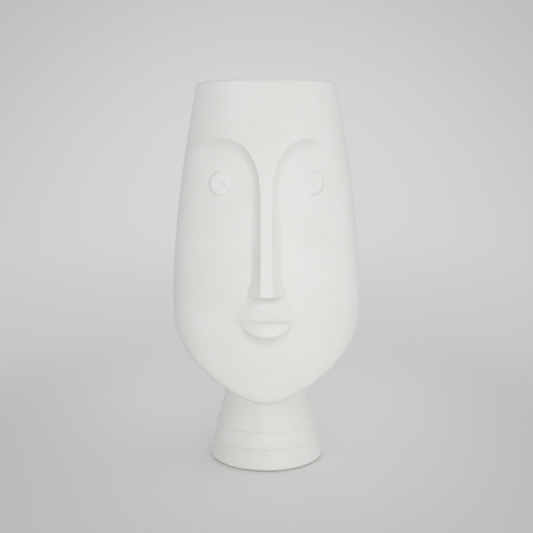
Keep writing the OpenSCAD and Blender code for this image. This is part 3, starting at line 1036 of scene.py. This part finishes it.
@dataclass
class Eyes:
    """The two low discs with a dimple, in millimetres."""

    head: HeadForm
    x: float = 31.0
    z: float = 208.8
    radius: float = 9.5
    rise: float = 1.35
    tilt: float = 1.15
    dimple_r: float = 3.3
    dimple: float = 1.15
    brink_in: float = 0.15
    brink_out: float = 0.8
    brink_turn: float = 0.6
    centre: float = 0.01
    around: int = 120
    rings: int = 48

    def build(self, dresser: Dresser) -> None:
        """Builds and dresses both eyes.

        Each is a grid of rings: out over the front, whose height is a flat with an eased edge
        less a dimple in the middle, and back in behind it. The flat tilts, so that the disc
        stands out more on its outer side, and its edge is crisp there and long at the nose.

        Args:
            dresser: gives the pieces their finishes.
        """
        s = np.sin(np.pi / 2 * np.linspace(self.centre, 1, self.rings))[:, None]
        angle = np.linspace(0, 2 * np.pi, self.around, endpoint=False)[None]
        dip = self.dimple * (1 - ease(0, 1, s * self.radius / self.dimple_r))
        for name, x, node in (
            ("left_eye_disc", self.x, "left_eye"),
            ("right_eye_disc", -self.x, "right_eye"),
        ):
            outer = np.cos(angle) * np.sign(x)
            brink = mix(self.brink_in, self.brink_out, ease(-self.brink_turn, self.brink_turn, outer))
            edge = 1 - ease(0, 1, (s - brink) / (1 - brink))
            out = (self.rise + self.tilt * outer * s) * edge - dip - EDGE_DIP
            px = x + self.radius * s * np.cos(angle)
            pz = self.z + self.radius * s * np.sin(angle)
            front = self.head.face_at(px, pz, out + 0 * px)
            back = self.head.face_at(px, pz, 0 * px - BURIED)[::-1]
            piece = loft(name, np.concatenate([front, back]))
            dresser.dress(piece, (node,), [dresser.matte])


@dataclass
class Neck:
    """The turned neck with its three flared bands, in millimetres."""

    top_z: float = 56.0
    top_r: float = 31.0
    foot_r: float = 42.3
    high_z: float = 27.0
    high_r: float = 38.0
    low_z: float = 15.0
    low_r: float = 40.4
    flare: float = 1.8
    lip_step: float = 0.6
    wall: float = 6.0
    throat_r: float = 27.2
    spigot_h: float = 4.0
    spigot_wall: float = 4.0
    groove_depth: float = 0.9
    groove_r: float = 1.1
    foot_step_h: float = 1.4
    foot_step_w: float = 1.6
    seat_r: float = 37.7
    ledge_w: float = 3.0
    ledge_z: float = 6.0
    bevel: float = 0.4
    band_rows: int = 90
    wiped_margin: float = 0.01
    inward: float = 0.2

    def outside(self) -> Array:
        """Outer profile from the foot's lip to the top.

        Each band's radius is a straight blend from its top to its lip by a power of the way
        down. The grooves are circles cut into it at the lips.

        Returns:
            Points as radius, height.
        """
        bands = (
            (self.foot_step_h + self.bevel, self.low_z, self.low_r - self.lip_step, self.foot_r),
            (self.low_z, self.high_z, self.high_r - self.lip_step, self.low_r),
            (self.high_z, self.top_z, self.top_r, self.high_r),
        )
        parts = []
        for low, high, top_r, low_r in bands:
            near = 0.5 - 0.5 * np.cos(np.linspace(0, np.pi, self.band_rows))
            z = mix(low, high, near)
            radius = mix(top_r, low_r, ((high - z) / (high - low)) ** self.flare)
            parts.append(np.stack([radius, z], -1))
        profile = np.concatenate(parts)
        for lip_z, lip_r in ((self.low_z, self.low_r), (self.high_z, self.high_r)):
            centre = lip_r + self.groove_r - self.groove_depth - self.lip_step / 2
            reach = np.sqrt(np.clip(self.groove_r**2 - (profile[:, 1] - lip_z) ** 2, 0, None))
            cut = np.where(reach > 0, centre - reach, np.inf)
            profile[:, 0] = np.minimum(profile[:, 0], cut)
        return profile

    def build(self, dresser: Dresser) -> None:
        """Builds and dresses the neck.

        Args:
            dresser: gives the pieces their finishes.
        """
        base_r = self.foot_r - self.foot_step_w
        bore_r = self.throat_r - self.spigot_wall
        foot = [
            (self.seat_r, 0),
            (base_r - self.bevel, 0),
            (base_r, self.bevel),
            (base_r, self.foot_step_h),
            (self.foot_r - self.bevel, self.foot_step_h),
        ]
        inside = [
            (self.throat_r, self.top_z),
            (self.throat_r, self.top_z + self.spigot_h - self.bevel),
            (self.throat_r - self.bevel, self.top_z + self.spigot_h),
            (bore_r, self.top_z + self.spigot_h),
            (bore_r, self.top_z - self.wall),
            (self.top_r - self.wall, self.top_z - 2 * self.wall),
            (self.high_r - self.wall, self.high_z),
            (self.low_r - self.wall, self.low_z),
            (self.seat_r - self.ledge_w, self.ledge_z),
            (self.seat_r, self.ledge_z),
        ]
        profile = np.concatenate([np.array(foot), self.outside(), np.array(inside)])
        piece = turn("turned_neck", profile)
        materials = [dresser.matte, dresser.bare, dresser.inside]
        dresser.dress(piece, ("neck",), materials, self.pick)

    def pick(self, centres: Array, normals: Array) -> Array:
        """Chooses the finish of each face.

        Args:
            centres: the faces' centres.
            normals: their normals.

        Returns:
            0 for the outside, 1 for the wiped foot and 2 for the glazed bore.
        """
        radius = np.hypot(centres[:, 0], centres[:, 1])
        outwards = (centres[:, 0] * normals[:, 0] + centres[:, 1] * normals[:, 1]) / np.maximum(radius, 1)
        wiped = centres[:, 2] < self.foot_step_h + self.wiped_margin
        bore = (outwards < -self.inward) & (centres[:, 2] > self.ledge_z)
        return np.where(wiped, 1, np.where(bore, 2, 0))


@dataclass
class FloorDisc:
    """The floor of the vase, turned with a shallow hollow below, in millimetres."""

    radius: float = 37.4
    low_z: float = 2.0
    thick: float = 4.0
    edge: float = 0.5
    mark: float = 0.06
    mark_pitch: float = 2.4
    mark_ease: float = 3.0
    hole_r: float = 0.02
    steps: int = 160
    upward: float = 0.7

    def build(self, dresser: Dresser) -> None:
        """Builds and dresses the disc.

        Below, the profile carries the ripples of the turning tool: a sine of the radius.

        Args:
            dresser: gives the piece its finish.
        """
        outer = self.radius - self.edge
        radius = np.linspace(outer, self.hole_r, self.steps)
        ripple = self.mark * (1 + np.sin(2 * np.pi * radius / self.mark_pitch))
        marks = ripple * ease(outer, self.radius - self.mark_ease, radius)
        below = np.stack([radius, self.low_z + marks], -1)
        top_z = self.low_z + self.thick
        above = np.stack([radius[::-1], np.full_like(radius, top_z)], -1)
        rim = np.array([[self.radius, top_z - self.edge], [self.radius, self.low_z + self.edge]])
        piece = turn("floor_disc_turning", np.concatenate([below, above, rim]))
        materials = [dresser.bare, dresser.inside]
        dresser.dress(piece, ("floor_disc",), materials, self.pick)

    def pick(self, centres: Array, normals: Array) -> Array:
        """1 for the glazed top and 0 for the rest."""
        return (normals[:, 2] > self.upward).astype(int)


@dataclass
class Studio:
    """A round pale sweep, soft light and the camera, in metres and degrees.

    The floor lies lower than the foot by drop_mm, so that the two never share a plane.
    """

    table_r: float = 0.5
    floor_r: float = 1.5
    sweep_r: float = 1.3
    wall_z: float = 3.4
    hole_r: float = 0.001
    drop_mm: float = 0.05
    around: int = 128
    flat_rows: int = 20
    bend_rows: int = 40
    # Paper colours of a painted pool of light, lighter near the vase and darker further off
    painted_lit_paper: Colour = (0.9, 0.9, 0.895)
    painted_shaded_paper: Colour = (0.71, 0.71, 0.708)
    # Glow colours: painted light on the backdrop, brighter behind the vase and darker far off
    near_glow: Colour = (0.672, 0.672, 0.672)
    far_glow: Colour = (0.479, 0.479, 0.479)
    painted_pool_scale: Triple = (1.6, 0.8, 1)
    painted_pool_centre: Triple = (0.01, 0.2, 0)
    painted_pool_fade: Pair = (0.15, 0.47)
    glow_scale: Triple = (0.85, 0.4, 0.87)
    glow_centre: Triple = (0, 0.92, 0)
    glow_fade: Pair = (0.2, 1.4)
    share_fade: Pair = (0.12, 0.5)
    fill: float = 0.745
    fill_form: tuple[float, ...] = (1.13, 0.02, 0.14, -0.48, 0.25, -0.3)
    camera_y: float = -0.6437
    camera_z: float = 0.2305
    pitch_deg: float = 7.56
    focal_px: float = 863.0
    image_px: float = 533.0
    sensor_mm: float = 36.0
    clip_near: float = 0.02
    clip_far: float = 20.0

    def stage(self) -> None:
        """Builds the floor round the vase, and the sweep that rises from it into a wall all round.

        The sweep neither blocks the fill nor sends any back, as a wide studio's would not.
        """
        material = self.sweep_material()
        bend = np.linspace(0, np.pi / 2, self.bend_rows)
        level = np.zeros(self.flat_rows)
        flat = np.stack([np.linspace(self.table_r, self.floor_r, self.flat_rows), level], -1)[:-1]
        curve = np.stack([self.floor_r + self.sweep_r * np.sin(bend), self.sweep_r * (1 - np.cos(bend))], -1)
        wall = np.array([[self.floor_r + self.sweep_r, self.wall_z]])
        table = np.stack([np.linspace(self.hole_r, self.table_r, self.flat_rows), level], -1)
        angle = np.linspace(0, 2 * np.pi, self.around, endpoint=False)[None]
        for name, profile in (("pale_table", table), ("pale_sweep", np.concatenate([flat, curve, wall]))):
            radius, height = profile[:, :1] / MM, profile[:, 1:] / MM - self.drop_mm
            points = np.stack([radius * np.cos(angle), radius * np.sin(angle), height + 0 * angle], -1)
            faces = [grid_quads(len(profile), self.around, wrap=True)[:, ::-1]]
            if name == "pale_table":
                faces.append(np.arange(self.around)[None])
            piece = make_piece(name, points.reshape(-1, 3), faces)
            piece.data.materials.append(material)
            piece.visible_diffuse = piece.visible_shadow = name == "pale_table"

    @staticmethod
    def reach(nodes: Nodes, place: Value, scale: Triple, centre: Triple) -> Value:
        """Distance of a place, scaled axis by axis, from a centre."""
        scaled = nodes.add("ShaderNodeVectorMath", {"operation": "MULTIPLY"}, {0: place, 1: scale})
        return nodes.add("ShaderNodeVectorMath", {"operation": "DISTANCE"}, {0: scaled, 1: centre}, "Value")

    def sweep_material(self) -> bpy.types.Material:
        """Matte paper near the vase, where it takes the shadow, and a glow far off.

        The paper is a painted pool of light, lighter near the vase and darker further off, and the
        glow is painted light, brighter behind the vase and darker far off. The glow shows to the
        camera, and in mirrored and transmitted rays, and gives the vase no other light.

        Returns:
            The material.
        """
        made = bpy.data.materials.new("pale_sweep_painted_light")
        nodes = Nodes(made)
        place = nodes.place()
        away = nodes.add("ShaderNodeVectorMath", {"operation": "LENGTH"}, {0: place}, "Value")
        rays = ("Camera", "Glossy", "Transmission")
        seen, mirrored, through = (nodes.add("ShaderNodeLightPath", out=f"Is {ray} Ray") for ray in rays)
        # Painted pool of light: the floor paper is lighter near the vase and darker further off
        painted_pool = self.reach(nodes, place, self.painted_pool_scale, self.painted_pool_centre).smooth(*self.painted_pool_fade)
        painted_paper_tone = nodes.blend(painted_pool, rgba(self.painted_lit_paper), rgba(self.painted_shaded_paper))
        paper = nodes.add("ShaderNodeBsdfDiffuse", None, {"Color": painted_paper_tone})
        # Painted light: the backdrop glow is brighter behind the vase and darker far off
        behind = self.reach(nodes, place, self.glow_scale, self.glow_centre).smooth(*self.glow_fade)
        tone = nodes.blend(behind, rgba(self.near_glow), rgba(self.far_glow))
        glow = nodes.add("ShaderNodeEmission", None, {"Color": tone, "Strength": 1.0})
        share = away.smooth(*self.share_fade) * (seen + mirrored + through)
        mixed = nodes.add("ShaderNodeMixShader", None, {0: share, 1: paper, 2: glow})
        nodes.add("ShaderNodeOutputMaterial", None, {"Surface": mixed})
        return made

    def lamp(
        self, name: str, place: Triple, target: Triple, size: float, power: float, spread_deg: float
    ) -> None:
        """Adds one soft square lamp.

        Args:
            name: name of the lamp.
            place: where it hangs.
            target: what it points at.
            size: length of its sides.
            power: its power in watts.
            spread_deg: whole angle that its light fans out to.
        """
        data = bpy.data.lights.new(name, "AREA")
        data.shape, data.size, data.energy = "SQUARE", size, power
        data.spread = math.radians(spread_deg)
        lamp = bpy.data.objects.new(name, data)
        lamp.location = place
        aim = np.array(target) - np.array(place)
        flat = math.hypot(aim[0], aim[1])
        lamp.rotation_euler = (math.atan2(flat, -aim[2]), 0, math.atan2(aim[1], aim[0]) - math.pi / 2)
        bpy.context.scene.collection.objects.link(lamp)

    def light(self) -> None:
        """Sets the fill, a low polynomial of the direction that it comes from, and the key lamp."""
        world = bpy.data.worlds.new("studio_fill")
        bpy.context.scene.world = world
        nodes = Nodes(world)
        way = nodes.add("ShaderNodeTexCoord", out="Generated")
        x, y, z = (nodes.axis(way, name) for name in "XYZ")
        even, by_x, by_y, by_zz, by_xz, by_yz = self.fill_form
        form = even + by_x * x + by_y * y + by_zz * z * z + by_xz * x * z + by_yz * y * z
        fill = nodes.add("ShaderNodeBackground", None, {"Color": (1, 1, 1, 1), "Strength": self.fill * form})
        nodes.add("ShaderNodeOutputWorld", None, {"Surface": fill})
        self.lamp("key_right", (0.24, -1.5, 0.1), (-0.02, 0, 0), size=0.7, power=0.78, spread_deg=55)

    def camera(self) -> None:
        """Places the camera at the photograph's angle."""
        data = bpy.data.cameras.new("camera")
        data.sensor_width = self.sensor_mm
        data.lens = self.sensor_mm * self.focal_px / self.image_px
        data.clip_start, data.clip_end = self.clip_near, self.clip_far
        camera = bpy.data.objects.new("camera", data)
        camera.location = (0, self.camera_y, self.camera_z)
        camera.rotation_euler = (math.radians(90 - self.pitch_deg), 0, 0)
        bpy.context.scene.collection.objects.link(camera)
        bpy.context.scene.camera = camera

    def build(self) -> None:
        """Builds the whole studio."""
        scene = bpy.context.scene
        scene.view_settings.view_transform = "Standard"
        self.stage()
        self.light()
        self.camera()


def main() -> None:
    """Builds the vase and the studio in order."""
    logging.basicConfig(level=logging.INFO, format="%(name)s %(message)s")
    dresser = Dresser(Finishes())
    head = Head()
    head.build(dresser)
    Nose(head.form, head.brow).build(dresser)
    Mouth(head.form).build(dresser)
    Eyes(head.form).build(dresser)
    Neck().build(dresser)
    FloorDisc().build(dresser)
    Studio().build()


if __name__ == "__main__":
    main()
